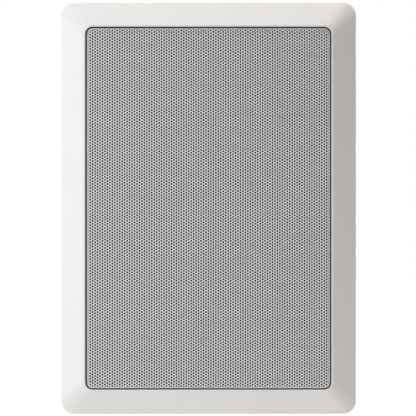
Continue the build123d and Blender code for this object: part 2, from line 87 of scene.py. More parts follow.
# Places of the drivers, the board and the clamps, as in the solids
WOOFER_Z = -44.3 * MM
WOOFER_CENTRE = (0, 0, WOOFER_Z)
TWEETER_Z = 84.75 * MM
TWEETER_CENTRE = (0, 0, TWEETER_Z)
BAFFLE_Y = 8.1 * MM
BAFFLE_BACK = 11.1 * MM
FLANGE_Y = 6.9 * MM
TWEETER_PLATE_Y = BAFFLE_Y - 3.5 * MM
BOARD_BACK = 18.7 * MM
CLAMP_X = 78.0 * MM
CLAMP_Z = 97.0 * MM
CORNERS = {"upper_right": (1, 1), "lower_right": (1, -1), "lower_left": (-1, -1), "upper_left": (-1, 1)}


# Meshes

# Angles past which two faces show an edge, past which a solid's edge is rounded, and up to which faces are
# made one. Points nearer than these gaps are made one, at a turned shape's seam and in a solid's copy.
SMOOTH_LIMIT = radians(35)
SHARP_EDGE = radians(40)
FLAT_LIMIT = radians(1)
SEAM_GAP = 0.0001 * MM
CORNER_GAP = 0.001 * MM
TUBE_SIDES = 8
ROUTE_STEPS = 6
UPRIGHT = Matrix.Rotation(radians(90), 4, "X")


def new_mesh(name, bm, material):
    mesh = bpy.data.meshes.new(name)
    bm.to_mesh(mesh)
    bm.free()
    mesh.materials.append(material)
    return mesh


def new_object(name, data):
    made = bpy.data.objects.new(name, data)
    bpy.context.scene.collection.objects.link(made)
    return made


def add_piece(name, bm, material, slot, body=None, replaced=()):
    """Makes a finished mesh into a piece that rides on a body and stands for the named solids."""
    mesh = new_mesh(name, bm, material)
    mesh.shade_smooth()
    mesh.set_sharp_from_angle(angle=SMOOTH_LIMIT)
    made = new_object(name, mesh)
    if body:
        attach(made, body)
    if replaced:
        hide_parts(*replaced)
    return made


def box_corners(node):
    """The lowest and the highest corner of a solid."""
    return [Vector(corner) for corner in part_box(node)]


def in_metres(outline):
    """An outline that is written in millimetres, in metres."""
    return [(across * MM, along * MM) for across, along in outline]


def verts_of(geom):
    return [item for item in geom if isinstance(item, bmesh.types.BMVert)]


def edges_of(geom):
    return [item for item in geom if isinstance(item, bmesh.types.BMEdge)]


def spin_outline(bm, points, centre, axis=(0, 1, 0), steps=72):
    """Turns a closed outline of (radius, distance along the axis) points about an axis through a centre."""
    axis = Vector(axis)
    across = Vector((0, 0, 1)) if axis.x else Vector((1, 0, 0))
    verts = [bm.verts.new(Vector(centre) + across * radius + axis * along) for radius, along in points]
    edges = [bm.edges.new(pair) for pair in zip(verts, verts[1:] + verts[:1])]
    bmesh.ops.spin(bm, geom=verts + edges, cent=centre, axis=axis, angle=2 * pi, steps=steps, use_merge=True)


def face_outwards(bm):
    bmesh.ops.recalc_face_normals(bm, faces=bm.faces[:])


def close_mesh(bm):
    """Joins the seams and poles of turned shapes and points their faces outwards."""
    bmesh.ops.remove_doubles(bm, verts=bm.verts[:], dist=SEAM_GAP)
    face_outwards(bm)


def turned_piece(name, points, centre, material, slot, axis=(0, 1, 0), steps=72, **options):
    """A piece with one turned outline."""
    bm = bmesh.new()
    spin_outline(bm, points, centre, axis, steps)
    close_mesh(bm)
    return add_piece(name, bm, material, slot, **options)


def sheet_outline(front, thickness):
    """The closed outline of a turned sheet with its front face through the points."""
    return front + [(radius, along + thickness) for radius, along in reversed(front)]


def arc(centre, across, along, start, end, steps):
    """Points of an elliptical arc, with angles in degrees from the outward direction."""
    angles = [radians(start + (end - start) * i / steps) for i in range(steps + 1)]
    return [(centre[0] + across * cos(a), centre[1] + along * sin(a)) for a in angles]


def round_off(bm, geom, width, segments, affect="EDGES", **options):
    """Bevels edges or corners, and gives the new faces."""
    return bmesh.ops.bevel(
        bm, geom=geom, offset=width, segments=segments, profile=0.5, affect=affect, material=-1, **options
    )["faces"]


def add_block(bm, low, high, bevel):
    """A block between two corners with rounded edges."""
    place = Matrix.Translation((low + high) / 2) @ Matrix.Diagonal((*(high - low), 1))
    verts = bmesh.ops.create_cube(bm, size=1, matrix=place)["verts"]
    edges = list(dict.fromkeys(edge for vert in verts for edge in vert.link_edges))
    round_off(bm, edges, bevel, segments=2)


def solid_copy(node):
    """A copy of a solid's mesh with its corners merged."""
    bm = bmesh.new()
    bm.from_mesh(nodes[node].data)
    bmesh.ops.remove_doubles(bm, verts=bm.verts[:], dist=CORNER_GAP)
    return bm


def rounded_copy(node, width, segments=2):
    """A copy of a solid's mesh with its flat faces whole and its sharp edges rounded."""
    bm = solid_copy(node)
    bmesh.ops.dissolve_limit(bm, angle_limit=FLAT_LIMIT, verts=bm.verts[:], edges=bm.edges[:])
    sharp = [edge for edge in bm.edges if edge.is_manifold and edge.calc_face_angle(0) > SHARP_EDGE]
    round_off(bm, sharp, width, segments, clamp_overlap=True)
    return bm


def softened(node, material, width, segments=2):
    """A piece that stands for a solid and has its sharp edges rounded."""
    bm = rounded_copy(node, width, segments)
    slot = next(part["material_slot"] for part in frame["record"]["subparts"] if part["node"] == node)
    add_piece(node + "_moulding", bm, material, slot, body=nodes[node]["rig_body"], replaced=[node])


def add_spline(curve, points):
    """Gives a curve the smooth spline that has these points as its control points."""
    curve.dimensions = "3D"
    spline = curve.splines.new("NURBS")
    spline.points.add(len(points) - 1)
    for spot, place in zip(spline.points, points):
        spot.co = (*place, 1)
    spline.order_u = 3
    spline.use_endpoint_u = True


def spline_points(points):
    """Points along the smooth spline of a route."""
    curve = bpy.data.curves.new("route", "CURVE")
    curve.resolution_u = ROUTE_STEPS
    add_spline(curve, points)
    holder = bpy.data.objects.new("route", curve)
    mesh = bpy.data.meshes.new_from_object(holder)
    line = [vert.co.copy() for vert in mesh.vertices]
    bpy.data.objects.remove(holder)
    bpy.data.curves.remove(curve)
    bpy.data.meshes.remove(mesh)
    return line


def line_length(line):
    return sum((there - here).length for here, there in zip(line, line[1:]))


def tube_along(bm, line, radius):
    """A round tube along a line of points, with closed ends."""
    ring = bmesh.ops.create_circle(bm, segments=TUBE_SIDES, radius=radius)["verts"]
    direction = (line[1] - line[0]).normalized()
    turn = direction.to_track_quat("Z", "Y").to_matrix().to_4x4()
    bmesh.ops.transform(bm, matrix=Matrix.Translation(line[0]) @ turn, verts=ring)
    loop = [edge for edge in bm.edges if edge.verts[0] in ring and edge.verts[1] in ring]
    bmesh.ops.contextual_create(bm, geom=loop)
    for before, here in zip(line, line[1:]):
        after = (here - before).normalized()
        made = bmesh.ops.extrude_edge_only(bm, edges=loop)["geom"]
        verts = verts_of(made)
        loop = [edge for edge in edges_of(made) if all(vert in verts for vert in edge.verts)]
        bend = direction.rotation_difference(after).to_matrix().to_4x4()
        step = Matrix.Translation(here) @ bend @ Matrix.Translation(-before)
        bmesh.ops.transform(bm, matrix=step, verts=verts)
        direction = after
    bmesh.ops.contextual_create(bm, geom=loop)
    face_outwards(bm)


# Shader nodes

SURFACE_SOCKETS = {"Colour": "colour", "Roughness": "value", "Normal": "vector"}

# How much the rings and the stains on turned steel add to its roughness
RING_ROUGHNESS = 0.18
STAIN_ROUGHNESS = 0.16


def add_node(tree, kind, inputs=None, **settings):
    """Adds a node, sets it up, and fills its inputs with values or links."""
    made = tree.nodes.new(kind)
    for name, value in settings.items():
        setattr(made, name, value)
    for name, value in (inputs or {}).items():
        if isinstance(value, bpy.types.NodeSocket):
            tree.links.new(value, made.inputs[name])
        else:
            made.inputs[name].default_value = value
    return made


def link_into(tree, target, links):
    """Links outputs to the named inputs of a node that is already there."""
    for name, output in links.items():
        tree.links.new(output, target.inputs[name])


def new_group(name, inputs, outputs):
    """An empty shader group with named sockets, and its inlet and outlet."""
    group = bpy.data.node_groups.new(name, "ShaderNodeTree")
    kinds = {"colour": "NodeSocketColor", "value": "NodeSocketFloat", "vector": "NodeSocketVector"}
    for way, sockets in (("INPUT", inputs), ("OUTPUT", outputs)):
        for label, kind in sockets.items():
            group.interface.new_socket(label, in_out=way, socket_type=kinds[kind])
    return group, group.nodes.new("NodeGroupInput").outputs, group.nodes.new("NodeGroupOutput")


def object_place(tree):
    return add_node(tree, "ShaderNodeTexCoord").outputs["Object"]


def math_node(tree, operation, *values):
    return add_node(tree, "ShaderNodeMath", dict(enumerate(values)), operation=operation).outputs[0]


def vector_node(tree, operation, *values):
    """The result of a vector sum, or a length, which has an output of its own."""
    made = add_node(tree, "ShaderNodeVectorMath", dict(enumerate(values)), operation=operation)
    return made.outputs["Value" if operation == "LENGTH" else "Vector"]


def split(tree, vector):
    return add_node(tree, "ShaderNodeSeparateXYZ", {"Vector": vector}).outputs


def joined(tree, **axes):
    return add_node(tree, "ShaderNodeCombineXYZ", axes).outputs["Vector"]


def noise(tree, place, scale, detail, roughness=0.5):
    """Cloudy noise from 0 to 1."""
    inputs = {"Vector": place, "Scale": scale, "Detail": detail, "Roughness": roughness}
    return add_node(tree, "ShaderNodeTexNoise", inputs).outputs["Fac"]


def ramp(tree, value, start, end, low=0.0, high=1.0):
    """Goes from low to high while a value goes from start to end."""
    inputs = {"Value": value, "From Min": start, "From Max": end, "To Min": low, "To Max": high}
    return add_node(tree, "ShaderNodeMapRange", inputs, clamp=True).outputs["Result"]


def mixed(tree, mask, first, second):
    """One colour where the mask is 0 and another where it is 1."""
    inputs = {"Factor": mask, "A": (*first, 1), "B": (*second, 1)}
    return add_node(tree, "ShaderNodeMix", inputs, data_type="RGBA").outputs["Result"]


def clouded(tree, colour, place, scale, low, spread):
    """A colour in soft clouds, from a low share of it upwards."""
    cloud = noise(tree, place, scale, detail=4.0)
    shade = math_node(tree, "ADD", math_node(tree, "MULTIPLY", cloud, spread), low)
    return vector_node(tree, "MULTIPLY", colour, shade)


def relief(tree, height, depth, strength):
    """The normal of a surface with a fine relief."""
    inputs = {"Height": height, "Distance": depth, "Strength": strength}
    return add_node(tree, "ShaderNodeBump", inputs).outputs["Normal"]


def moulded_finish_group():
    """Soft mottling of colour and roughness, and a fine grain, for moulded, painted and cast surfaces."""
    sockets = {
        "Colour": "colour", "Mottle Scale": "value", "Mottle": "value", "Roughness": "value",
        "Roughness Spread": "value", "Grain Scale": "value", "Grain Depth": "value",
    }
    group, given, out = new_group("moulded_finish", sockets, SURFACE_SOCKETS)
    place = object_place(group)
    cloud = noise(group, place, given["Mottle Scale"], detail=4.0, roughness=0.6)
    centred = math_node(group, "SUBTRACT", cloud, 0.5)
    shade = math_node(group, "MULTIPLY_ADD", centred, given["Mottle"], 1.0)
    grain = noise(group, place, given["Grain Scale"], detail=2.0)
    link_into(group, out, {
        "Colour": vector_node(group, "MULTIPLY", given["Colour"], shade),
        "Roughness": math_node(group, "MULTIPLY_ADD", centred, given["Roughness Spread"], given["Roughness"]),
        "Normal": relief(group, grain, given["Grain Depth"], strength=0.6),
    })
    return group


def turned_steel_group():
    """Fine rings left by the lathe about an axis along Y, with soft stains."""
    sockets = {
        "Colour": "colour", "Centre": "vector", "Ring Scale": "value", "Stain": "value", "Roughness": "value",
    }
    group, given, out = new_group("turned_steel", sockets, SURFACE_SOCKETS)
    place = object_place(group)
    offset = vector_node(group, "SUBTRACT", place, given["Centre"])
    distance = vector_node(group, "LENGTH", vector_node(group, "MULTIPLY", offset, (1, 0, 1)))
    line = joined(group, X=distance, Y=split(group, place)["Y"])
    rings = noise(group, line, given["Ring Scale"], detail=3.0, roughness=0.7)
    cloud = noise(group, place, scale=60.0, detail=5.0, roughness=0.65)
    centred = math_node(group, "SUBTRACT", cloud, 0.5)
    shade = math_node(group, "MULTIPLY_ADD", centred, given["Stain"], 1.0)
    ringed = math_node(group, "MULTIPLY", rings, RING_ROUGHNESS)
    stained = math_node(group, "MULTIPLY", cloud, STAIN_ROUGHNESS)
    spread = math_node(group, "ADD", ringed, stained)
    link_into(group, out, {
        "Colour": vector_node(group, "MULTIPLY", given["Colour"], shade),
        "Roughness": math_node(group, "ADD", spread, given["Roughness"]),
        "Normal": relief(group, rings, 0.04 * MM, strength=0.5),
    })
    return group


def plain_weave_group():
    """Crossing threads in the plane of X and Z: their height, and a mask of the threads without the gaps."""
    group, given, out = new_group("plain_weave", {"Threads": "value"}, {"Height": "value", "Thread": "value"})
    scaling = {"Vector": object_place(group), "Scale": given["Threads"]}
    scaled = add_node(group, "ShaderNodeVectorMath", scaling, operation="SCALE").outputs["Vector"]
    axes = split(group, scaled)
    rows = []
    for name in "XZ":
        wave = math_node(group, "SINE", math_node(group, "MULTIPLY", axes[name], 2 * pi))
        rows.append(math_node(group, "MULTIPLY_ADD", wave, 0.5, 0.5))
    height = math_node(group, "MAXIMUM", *rows)
    link_into(group, out, {"Height": height, "Thread": math_node(group, "MULTIPLY", height, height)})
    return group


# Finishes

MOULDED = moulded_finish_group()
TURNED = turned_steel_group()
WEAVE = plain_weave_group()

# Where the winding on the voice coil's former starts, and the width of a turn
WINDING_START = 51.1 * MM
COIL_WIRE = 0.35 * MM

# Cells of the board's copper to a metre, and the share of a cell that the gap round it takes
COPPER_CELLS = 95.0
COPPER_GAP = 0.09

# Painted shade: black in the grille's recess and the well behind it, as if sprayed, that darkens the gap
# round the grille. Where it starts, how soft and how uneven its edge is, and where it ends. Then where the
# recess passes into the well, half the width and height of each with part of its walls, the radius of its
# corners, and the black.
RECESS_SHADE_TOP = -7.3 * MM
RECESS_SHADE_EDGE = 0.4 * MM
RECESS_SHADE_UNEVEN = 0.5 * MM
RECESS_SHADE_BACK = BAFFLE_Y + 1.0 * MM
RECESS_BACK = -1.5 * MM
RECESS_SIZE = (92.0 * MM, 135.2 * MM)
WELL_SIZE = (88.8 * MM, 132.0 * MM)
RECESS_R = 6.5 * MM
RECESS_SHADE_BLACK = (0.012, 0.012, 0.013)


def new_material(name, roughness=0.5):
    """A plain material, its node tree and its shader."""
    material = bpy.data.materials.new(name)
    material.use_nodes = True
    shader = material.node_tree.nodes["Principled BSDF"]
    shader.inputs["Roughness"].default_value = roughness
    return material, material.node_tree, shader


def dressed(name, group, values, **surface):
    """A material whose colour, roughness and normal come from a shared group with these values."""
    material, tree, shader = new_material(name)
    look = add_node(tree, "ShaderNodeGroup", values, node_tree=group).outputs
    links = {"Base Color": look["Colour"], "Roughness": look["Roughness"], "Normal": look["Normal"]}
    link_into(tree, shader, links)
    for label, value in surface.items():
        shader.inputs[label].default_value = value
    return material


def moulded(name, colour, roughness, mottle=(40, 0.06), spread=0.12, grain=(2200, 0.04), **surface):
    """A moulded, painted or cast finish. Mottle is scale and strength, grain is scale and depth in mm."""
    values = {
        "Colour": (*colour, 1), "Mottle Scale": mottle[0], "Mottle": mottle[1], "Roughness": roughness,
        "Roughness Spread": spread, "Grain Scale": grain[0], "Grain Depth": grain[1] * MM,
    }
    return dressed(name, MOULDED, values, **surface)


def metal(name, colour, roughness, mottle, grain, spread=0.3):
    """A drawn, plated or melted metal."""
    return moulded(name, colour, roughness, mottle, spread, grain, Metallic=1.0)


def turned_steel(name, centre, roughness):
    """Bright steel, turned about a centre."""
    values = {
        "Colour": (0.6, 0.6, 0.58, 1), "Centre": centre, "Ring Scale": 2600, "Stain": 0.35,
        "Roughness": roughness,
    }
    return dressed(name, TURNED, values, Metallic=1.0)


def woven(name, thread, gap_shade, threads, depth, roughness):
    """A plain weave whose darker gap colour is painted shade between the threads and at their sides."""
    material, tree, shader = new_material(name, roughness)
    weave = add_node(tree, "ShaderNodeGroup", {"Threads": threads}, node_tree=WEAVE).outputs
    slub = noise(tree, object_place(tree), scale=320.0, detail=4.0)
    mask = math_node(tree, "MULTIPLY", weave["Thread"], math_node(tree, "ADD", slub, 0.45))
    link_into(tree, shader, {
        # Painted shade: the threads darken into the gap colour towards the gaps between them.
        "Base Color": mixed(tree, mask, gap_shade, thread),
        "Normal": relief(tree, weave["Height"], depth, strength=0.8),
    })
    return material


def coil_wire_material():
    """The voice coil: an amber former, with rows of copper wire from where the winding starts."""
    material, tree, shader = new_material("coil_wire", roughness=0.35)
    place = object_place(tree)
    along = split(tree, place)["Y"]
    wound = math_node(tree, "GREATER_THAN", along, WINDING_START)
    turn = math_node(tree, "SINE", math_node(tree, "MULTIPLY", along, 2 * pi / COIL_WIRE))
    height = math_node(tree, "MULTIPLY", turn, wound)
    colour = mixed(tree, wound, (0.45, 0.2, 0.04), (0.7, 0.3, 0.12))
    link_into(tree, shader, {
        "Base Color": clouded(tree, colour, place, scale=260.0, low=0.75, spread=0.5),
        "Metallic": wound,
        "Normal": relief(tree, height, 0.1 * MM, strength=0.7),
    })
    return material


def circuit_board_material():
    """Green lacquer over fields of copper with thin gaps between them."""
    material, tree, shader = new_material("circuit_board", roughness=0.28)
    place = object_place(tree)
    axes = split(tree, place)
    cells = {"Vector": joined(tree, X=axes["X"], Y=axes["Z"]), "Scale": COPPER_CELLS, "Randomness": 0.75}
    edge = add_node(tree, "ShaderNodeTexVoronoi", cells, feature="DISTANCE_TO_EDGE").outputs["Distance"]
    copper_mask = math_node(tree, "GREATER_THAN", edge, COPPER_GAP)
    colour = mixed(tree, copper_mask, (0.02, 0.1, 0.045), (0.04, 0.2, 0.08))
    link_into(tree, shader, {
        "Base Color": clouded(tree, colour, place, scale=150.0, low=0.8, spread=0.4),
        "Normal": relief(tree, copper_mask, 0.04 * MM, strength=0.8),
    })
    return material


def paint_recess_shade(material):
    """Painted shade: black, as if sprayed, on the walls of the grille's recess and on the baffle, to just
    under the lip, which darkens the gap round the grille.
    """
    tree = material.node_tree
    place = object_place(tree)
    axes = split(tree, place)
    shade_noise = noise(tree, place, scale=900.0, detail=3.0)
    depth = math_node(tree, "MULTIPLY_ADD", shade_noise, RECESS_SHADE_UNEVEN, axes["Y"])
    below_top = ramp(tree, depth, RECESS_SHADE_TOP, RECESS_SHADE_TOP + RECESS_SHADE_EDGE)
    mask = math_node(tree, "MULTIPLY", below_top, math_node(tree, "LESS_THAN", axes["Y"], RECESS_SHADE_BACK))
    in_recess = math_node(tree, "LESS_THAN", axes["Y"], RECESS_BACK)
    past_core = {}
    for name, recess, well in zip("XZ", RECESS_SIZE, WELL_SIZE):
        core = math_node(tree, "MULTIPLY_ADD", in_recess, recess - well, well - RECESS_R)
        past = math_node(tree, "SUBTRACT", math_node(tree, "ABSOLUTE", axes[name]), core)
        past_core[name] = math_node(tree, "MAXIMUM", past, 0.0)
    reach = vector_node(tree, "LENGTH", joined(tree, **past_core))
    mask = math_node(tree, "MULTIPLY", mask, math_node(tree, "LESS_THAN", reach, RECESS_R))
    look = next(node for node in tree.nodes if node.type == "GROUP")
    white = look.inputs["Colour"].default_value[:3]
    # The recess's black is painted shade, mixed over the plastic's own white.
    link_into(tree, look, {"Colour": mixed(tree, mask, white, RECESS_SHADE_BLACK)})


white_plastic = moulded("white_plastic", (0.86, 0.856, 0.845), 0.42, mottle=(14, 0.03), grain=(2600, 0.03))
# Painted shade: the frame's white plastic turns black inside the grille's recess, darkening the gap.
paint_recess_shade(white_plastic)
white_paint = moulded("white_paint", (0.84, 0.872, 0.905), 0.38, mottle=(22, 0.04), grain=(1800, 0.03))
black_paint = moulded(
    "black_paint", (0.022, 0.022, 0.023), 0.36, mottle=(55, 0.5), spread=0.2, grain=(900, 0.06)
)
rubber = moulded("rubber", (0.02, 0.02, 0.02), 0.55, mottle=(90, 0.4), grain=(3000, 0.02))
cone_plastic = moulded(
    "cone_plastic", (0.026, 0.026, 0.028), 0.45, mottle=(130, 0.6), spread=0.2, grain=(700, 0.08)
)
ferrite = moulded("ferrite", (0.055, 0.055, 0.057), 0.62, mottle=(180, 0.55), spread=0.25, grain=(1300, 0.09))
black_plastic = moulded("black_plastic", (0.028, 0.028, 0.03), 0.48, mottle=(60, 0.35), grain=(2800, 0.04))
red_plastic = moulded("red_plastic", (0.52, 0.03, 0.026), 0.32, mottle=(70, 0.12), grain=(2400, 0.02))
nylon = moulded("nylon", (0.80, 0.79, 0.765), 0.5, mottle=(85, 0.07), spread=0.16, grain=(1500, 0.05))
fibre = moulded("fibre", (0.2, 0.1, 0.05), 0.7, mottle=(420, 0.5), grain=(1700, 0.08))
cement = moulded("cement", (0.76, 0.74, 0.68), 0.8, mottle=(500, 0.22), grain=(1500, 0.14))
tinned_brass = metal("tinned_brass", (0.72, 0.68, 0.56), 0.34, (260, 0.25), grain=(900, 0.04), spread=0.25)
solder = metal("solder", (0.62, 0.62, 0.63), 0.26, mottle=(600, 0.2), grain=(800, 0.05))
spring_steel = metal("spring_steel", (0.6, 0.59, 0.56), 0.3, mottle=(200, 0.2), grain=(1200, 0.02))
screw_steel = metal("screw_steel", (0.68, 0.62, 0.46), 0.32, mottle=(240, 0.3), grain=(1500, 0.03))
copper = metal("copper", (0.75, 0.33, 0.13), 0.26, mottle=(330, 0.25), grain=(1600, 0.03), spread=0.2)
blue_sleeve = moulded("blue_sleeve", (0.045, 0.085, 0.27), 0.3, mottle=(110, 0.2), grain=(900, 0.06))
amber_film = moulded("amber_film", (0.62, 0.42, 0.09), 0.24, mottle=(140, 0.2), grain=(700, 0.08))
black_lead = moulded("black_lead", (0.03, 0.03, 0.032), 0.4, mottle=(150, 0.3), grain=(2000, 0.03))
red_lead = moulded("red_lead", (0.5, 0.028, 0.024), 0.38, mottle=(150, 0.15), grain=(2000, 0.03))
woofer_steel = turned_steel("woofer_steel", WOOFER_CENTRE, roughness=0.22)
tweeter_steel = turned_steel("tweeter_steel", TWEETER_CENTRE, roughness=0.24)
# The gap colours are darker copies of the thread colours: painted shade between the threads.
scrim_cloth = woven(
    "scrim_cloth", thread=(0.016, 0.016, 0.017), gap_shade=(0.004, 0.004, 0.004), threads=1700, depth=0.12 * MM,
    roughness=0.9,
)
spider_cloth = woven(
    "spider_cloth", thread=(0.62, 0.38, 0.13), gap_shade=(0.22, 0.11, 0.03), threads=900, depth=0.2 * MM,
    roughness=0.75,
)
dome_silk = woven(
    "dome_silk", thread=(0.04, 0.037, 0.035), gap_shade=(0.012, 0.011, 0.011), threads=1900, depth=0.1 * MM,
    roughness=0.6,
)
coil_wire = coil_wire_material()
circuit_board = circuit_board_material()


# Grille

# Punched sheet. A six-sided hole this much wider than a round one has the same area.
HOLE_PITCH = 2.105 * MM
HOLE_R = 0.75 * MM
HEXAGON_R = HOLE_R * 1.1
COLUMN_STEP = HOLE_PITCH * sin(pi / 3)
SHEET_T = 0.8 * MM
FOLD_R = 1.4 * MM
GRILLE_CORNER_R = 4.6 * MM
PUNCHED_FOLD = 4.4 * MM

# Cloth behind the sheet
SCRIM_T = 0.25 * MM
SCRIM_CORNER_R = 4.1 * MM
SCRIM_INSET = 0.05 * MM


def fold_place(x, z, low, high):
    """Where a point of the flat sheet lies once its border is folded back, as x, depth and z, and how far it
    is past the flat field."""
    core = ((high.x - low.x) / 2 - GRILLE_CORNER_R, (high.z - low.z) / 2 - GRILLE_CORNER_R)
    over = (max(abs(x) - core[0], 0), max(abs(z) - core[1], 0))
    reach = hypot(*over)
    flat_r = GRILLE_CORNER_R - FOLD_R
    past = reach - flat_r
    if past <= 0:
        return x, 0.0, z, past
    turn = min(past / FOLD_R, pi / 2)
    out = (flat_r + FOLD_R * sin(turn)) / reach
    depth = FOLD_R * (1 - cos(turn)) + max(past - FOLD_R * pi / 2, 0)
    signs = (1 if x > 0 else -1, 1 if z > 0 else -1)
    folded_x = signs[0] * (min(abs(x), core[0]) + over[0] * out)
    folded_z = signs[1] * (min(abs(z), core[1]) + over[1] * out)
    return folded_x, depth, folded_z, past


def grille_half(name, side):
    """Half of the punched sheet: triangles between hole centres, with a hole cut at each centre and the
    border folded back."""
    low, high = box_corners("grille")
    columns = int(((high.x - low.x) / 2 + PUNCHED_FOLD) / COLUMN_STEP) + 1
    rows = 2 * (int(((high.z - low.z) / 2 + PUNCHED_FOLD) / HOLE_PITCH) + 1)
    size = Matrix.Diagonal((columns * COLUMN_STEP, rows * HOLE_PITCH, 1, 1))
    place = Matrix.Translation((side * columns * COLUMN_STEP / 2, 0, 0)) @ UPRIGHT @ size
    bm = bmesh.new()
    bmesh.ops.create_grid(bm, x_segments=columns, y_segments=rows, size=0.5, matrix=place)
    odd = [vert for vert in bm.verts if round(abs(vert.co.x) / COLUMN_STEP) % 2]
    bmesh.ops.translate(bm, verts=odd, vec=(0, 0, HOLE_PITCH / 2))
    bmesh.ops.triangulate(bm, faces=bm.faces[:], quad_method="SHORT_EDGE")
    spare = [vert for vert in bm.verts if fold_place(vert.co.x, vert.co.z, low, high)[3] > PUNCHED_FOLD]
    bmesh.ops.delete(bm, geom=spare, context="VERTS")
    holes = round_off(bm, bm.verts[:], HEXAGON_R, segments=1, affect="VERTICES", clamp_overlap=False)
    bmesh.ops.delete(bm, geom=holes, context="FACES_ONLY")
    for vert in bm.verts:
        x, depth, z, _ = fold_place(vert.co.x, vert.co.z, low, high)
        vert.co = (x, low.y + depth, z)
    face_outwards(bm)
    bmesh.ops.solidify(bm, geom=bm.faces[:], thickness=SHEET_T)
    add_piece(name, bm, white_paint, "white_painted_steel", body="frame", replaced=["grille"])


def rounded_loop(bm, width, height, radius, y, segments):
    """A rounded rectangle round the speaker's axis, as one face."""
    size = Matrix.Diagonal((width, height, 1, 1))
    place = Matrix.Translation((0, y, 0)) @ UPRIGHT @ size
    made = bmesh.ops.create_grid(bm, x_segments=1, y_segments=1, size=0.5, matrix=place)["verts"]
    round_off(bm, made, radius, segments, affect="VERTICES")


def grille_rim():
    """The plain edge of the folded border, below its last holes."""
    low, high = box_corners("grille")
    bm = bmesh.new()
    top = low.y + FOLD_R + PUNCHED_FOLD - FOLD_R * pi / 2 - HOLE_R
    rounded_loop(bm, high.x - low.x, high.z - low.z, GRILLE_CORNER_R, top, segments=10)
    front = bm.faces[:]
    made = bmesh.ops.extrude_edge_only(bm, edges=[edge for edge in bm.edges if edge.is_boundary])["geom"]
    bmesh.ops.translate(bm, verts=verts_of(made), vec=(0, high.y - top, 0))
    bmesh.ops.delete(bm, geom=front, context="FACES_ONLY")
    face_outwards(bm)
    bmesh.ops.solidify(bm, geom=bm.faces[:], thickness=SHEET_T)
    add_piece("grille_rim", bm, white_paint, "white_painted_steel", body="frame")


def scrim():
    """The black cloth stretched behind the sheet."""
    low, high = box_corners("grille_scrim")
    width, height = high.x - low.x, high.z - low.z
    bm = bmesh.new()
    rounded_loop(bm, width, height, SCRIM_CORNER_R, low.y + SCRIM_INSET, segments=6)
    bmesh.ops.solidify(bm, geom=bm.faces[:], thickness=SCRIM_T)
    made = add_piece("scrim", bm, scrim_cloth, "black_cloth", body="frame", replaced=["grille_scrim"])


grille_half("grille_right", 1)
grille_half("grille_left", -1)
grille_rim()
scrim()


# Woofer

# The cone's front face: (radius, depth) at its rim, and how it deepens towards the middle
CONE_RIM = (57.5 * MM, 14.0 * MM)
CONE_FALL = 18.0 / 44.2

# The rubber roll: its thickness, where its skirt ends and how far the end lies above the cone
SURROUND_T = 0.9 * MM
SKIRT_END_R = 53.5 * MM
SKIRT_LIFT = 1.1 * MM

# The dust cap: its radius, the width of its flange, the step there, the height of its dome, its thickness,
# and how far its rim lies above the cone
DUST_CAP_R = 22.0 * MM
DUST_CAP_FLANGE = 1.0 * MM
DUST_CAP_STEP = 0.1 * MM
DUST_CAP_RISE = 4.8 * MM
DUST_CAP_T = 0.6 * MM
DUST_CAP_LIFT = 0.7 * MM

# The cloth disc: (radius, depth) at the coil and at the chassis, its thickness, the share of its width over
# which it falls, the shares at which the ripples start and end, their height and number, and the steps across
SPIDER_COLLAR = (13.6 * MM, 35.5 * MM)
SPIDER_RIM = (45.6 * MM, 42.3 * MM)
SPIDER_T = 0.5 * MM
SPIDER_FALL = 0.75
RIPPLES_FROM = 0.1
RIPPLES_TO = 0.86
RIPPLE_H = 0.99 * MM
RIPPLE_COUNT = 11
SPIDER_STEPS = 72

# Leads and solder on the two tags, in millimetres
TINSEL_R = 0.55
TINSEL_ROUTE = [
    (5.0, 46.6, 5.0), (5.0, 47.2, 9.0), (5.0, 42.5, 11.5), (5.0, 35.5, 8.0), (5.0, 31.5, -4.0),
    (5.0, 30.0, -12.0), (4.5, 27.6, -17.0),
]
TAG_BEAD = (5.0, 46.4, 4.6)
TAG_BEAD_SIZE = (1.5, 0.8, 1.9)

# Screws of the drivers: how many, the radius of their circle, the angle of the first, the face under their
# heads, and the radius and height of a head
WOOFER_SCREWS = (4, 78.6 * MM, 45, FLANGE_Y, 3.2 * MM, 1.9 * MM)
TWEETER_SCREWS = (3, 26.4 * MM, 90, TWEETER_PLATE_Y, 2.6 * MM, 1.6 * MM)


def cone_front(radius):
    """Depth of the cone's front face at a radius."""
    return CONE_RIM[1] + (CONE_RIM[0] - radius) * CONE_FALL


def pan_head(bm, centre, radius, proud):
    """A low round screw head that stands proud of a face at the centre's depth."""
    dome = arc((0, 0), radius, proud, 0, 90, 6)
    spin_outline(bm, dome + [(0, 0)], centre, steps=20)


def add_bead(bm, place, size, around):
    """A flattened bead of solder."""
    matrix = Matrix.Translation(place) @ Matrix.Diagonal((*size, 1))
    bmesh.ops.create_uvsphere(bm, u_segments=around, v_segments=8, radius=1, matrix=matrix)


def surround():
    """A rubber half roll. The outer foot lies on the chassis, the inner skirt on the cone."""
    foot = [(74.0, 5.9), (69.4, 5.9)]
    roll = arc((63.2, 6.3), 5.4, -5.3, 0, 180, 16)
    skirt = [(57.4, 12.4), (56.0, 13.2)]
    skirt_end = (SKIRT_END_R, cone_front(SKIRT_END_R) - SKIRT_LIFT)
    outline = sheet_outline(in_metres(foot + roll + skirt) + [skirt_end], SURROUND_T)
    made = turned_piece(
        "surround_roll", outline, WOOFER_CENTRE, rubber, "black_rubber", steps=96,
        replaced=["woofer_surround"],
    )
    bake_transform(made)


def dust_cap_dome():
    """The domed cap over the coil, glued to the cone."""
    rim = cone_front(DUST_CAP_R) - DUST_CAP_LIFT
    dome = arc((0, rim - DUST_CAP_STEP), DUST_CAP_R - DUST_CAP_FLANGE, -DUST_CAP_RISE, 8, 90, 12)
    outline = sheet_outline([(DUST_CAP_R, rim)] + dome, DUST_CAP_T)
    turned_piece(
        "dust_cap_dome", outline, WOOFER_CENTRE, cone_plastic, "black_cone", body="cone",
        replaced=["dust_cap"],
    )


